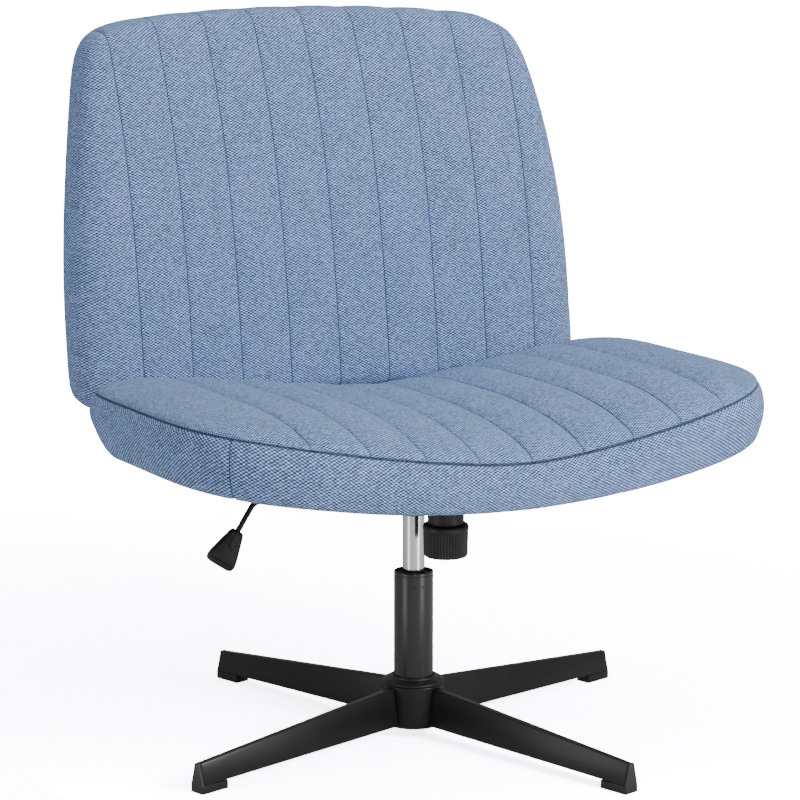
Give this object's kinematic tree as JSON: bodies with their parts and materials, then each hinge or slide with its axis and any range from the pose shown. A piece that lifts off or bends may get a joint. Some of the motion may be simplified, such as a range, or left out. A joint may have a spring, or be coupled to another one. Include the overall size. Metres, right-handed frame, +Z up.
{
  "type": "swivel office chair",
  "caption": "Armless swivel office chair with a wide saddle seat, a curved channel-stitched back, gas lift, rocking tilt mechanism and a fixed cross base on feet.",
  "frame": {"origin": "on the swivel axis at floor level", "axes": "+Z up along the swivel axis; the sitter faces -Y, so -X is the sitter's right; the cross base stands turned 16 degrees from +X"},
  "size_m": [0.806, 0.7159, 0.9],
  "materials": {
    "blue_fabric": "denim-blue heathered weave, matte",
    "black_cover": "thin black non-woven",
    "plywood": "moulded plywood, unvarnished",
    "black_steel": "satin black powder coat",
    "black_tube": "semi-gloss black paint",
    "chrome": "polished chrome",
    "zinc_steel": "zinc-plated steel",
    "spring_steel": "oiled spring steel",
    "black_plastic": "moulded black plastic",
    "nylon": "natural nylon",
    "rubber": "black rubber"
  },
  "bodies": {
    "base": {"leg_1": "black_steel", "leg_2": "black_steel", "leg_3": "black_steel", "leg_4": "black_steel", "foot_1": "black_plastic", "foot_2": "black_plastic", "foot_3": "black_plastic", "foot_4": "black_plastic", "hub": "black_steel", "hub_collar": "black_plastic", "column_tube": "black_tube", "guide_bush": "black_plastic", "bearing_lower_washer": "zinc_steel", "bearing_cage": "zinc_steel"},
    "spring_rod": {"gas_rod": "zinc_steel", "retaining_clip": "zinc_steel", "bearing_upper_washer": "zinc_steel", "lift_buffer": "rubber"},
    "lift": {"lift_cylinder": "chrome", "taper_socket": "black_steel", "tilt_housing": "black_steel", "tilt_axle": "zinc_steel", "axle_ring_left": "zinc_steel", "axle_ring_right": "zinc_steel", "spring_sleeve": "black_plastic", "tension_spring": "spring_steel"},
    "button": {"release_button": "zinc_steel"},
    "lever_pivot": {"lever_bush": "nylon"},
    "lever": {"lever_rod": "black_steel", "lever_grip": "black_plastic"},
    "tension": {"tension_bolt": "zinc_steel"},
    "knob_carrier": {"spring_washer": "zinc_steel"},
    "knob": {"tension_knob": "black_plastic", "tension_nut": "zinc_steel"},
    "seat": {"seat_plate": "black_steel", "pivot_bush_left": "nylon", "pivot_bush_right": "nylon", "seat_board": "plywood", "seat_cushion": "blue_fabric", "dust_cover": "black_cover", "seat_bolt_1": "zinc_steel", "seat_bolt_2": "zinc_steel", "seat_bolt_3": "zinc_steel", "seat_bolt_4": "zinc_steel", "back_bracket_left": "black_steel", "back_bracket_left_seat_bolt_1": "zinc_steel", "back_bracket_left_seat_bolt_2": "zinc_steel", "back_bracket_left_back_bolt_1": "zinc_steel", "back_bracket_left_back_bolt_2": "zinc_steel", "back_bracket_right": "black_steel", "back_bracket_right_seat_bolt_1": "zinc_steel", "back_bracket_right_seat_bolt_2": "zinc_steel", "back_bracket_right_back_bolt_1": "zinc_steel", "back_bracket_right_back_bolt_2": "zinc_steel", "back_board": "plywood", "back_cushion": "blue_fabric", "rear_cover": "blue_fabric"}
  },
  "joints": [
    {"name": "swivel", "type": "hinge", "parent": "base", "child": "spring_rod", "pos_m": [0, 0, 0.022], "axis": [0, 0, 1], "continuous": true},
    {"name": "height", "type": "slide", "parent": "spring_rod", "child": "lift", "axis": [0, 0, 1], "range_m": [-0.06, 0.04]},
    {"name": "tilt", "type": "hinge", "parent": "lift", "child": "seat", "pos_m": [0, 0.022, 0.325], "axis": [-1, 0, 0], "range_deg": [0, 10], "stiffness_Nm_per_rad": 180, "springref_deg": -11.46},
    {"name": "lever_lift", "type": "hinge", "parent": "lift", "child": "lever_pivot", "pos_m": [-0.0385, 0, 0.3208], "axis": [0, 1, 0], "range_deg": [0, 5], "stiffness_Nm_per_rad": 2, "springref_deg": -17.19},
    {"name": "lever_pull", "type": "slide", "parent": "lever_pivot", "child": "lever", "axis": [-1, 0, 0], "range_m": [0, 0.014]},
    {"name": "button_press", "type": "slide", "parent": "lift", "child": "button", "axis": [0, 0, -1], "range_m": [0, 0.0045]},
    {"name": "tension_rise", "type": "slide", "parent": "lift", "child": "tension", "axis": [0, 0, 1], "range_m": [0, 0.019], "deforming": ["tension_spring"]},
    {"name": "knob_travel", "type": "slide", "parent": "tension", "child": "knob_carrier", "axis": [0, 0, 1], "range_m": [0, 0.003], "deforming": ["tension_spring"]},
    {"name": "knob_turn", "type": "hinge", "parent": "knob_carrier", "child": "knob", "pos_m": [0, -0.081, 0.265], "axis": [0, 0, 1], "range_deg": [0, 721]}
  ],
  "couplings": [
    {"joint": "button_press", "follows": "lever_lift", "m_per_rad": 0.04},
    {"joint": "tension_rise", "follows": "tilt", "m_per_rad": 0.103},
    {"joint": "knob_turn", "follows": "knob_travel", "rad_per_m": 4188.8}
  ]
}
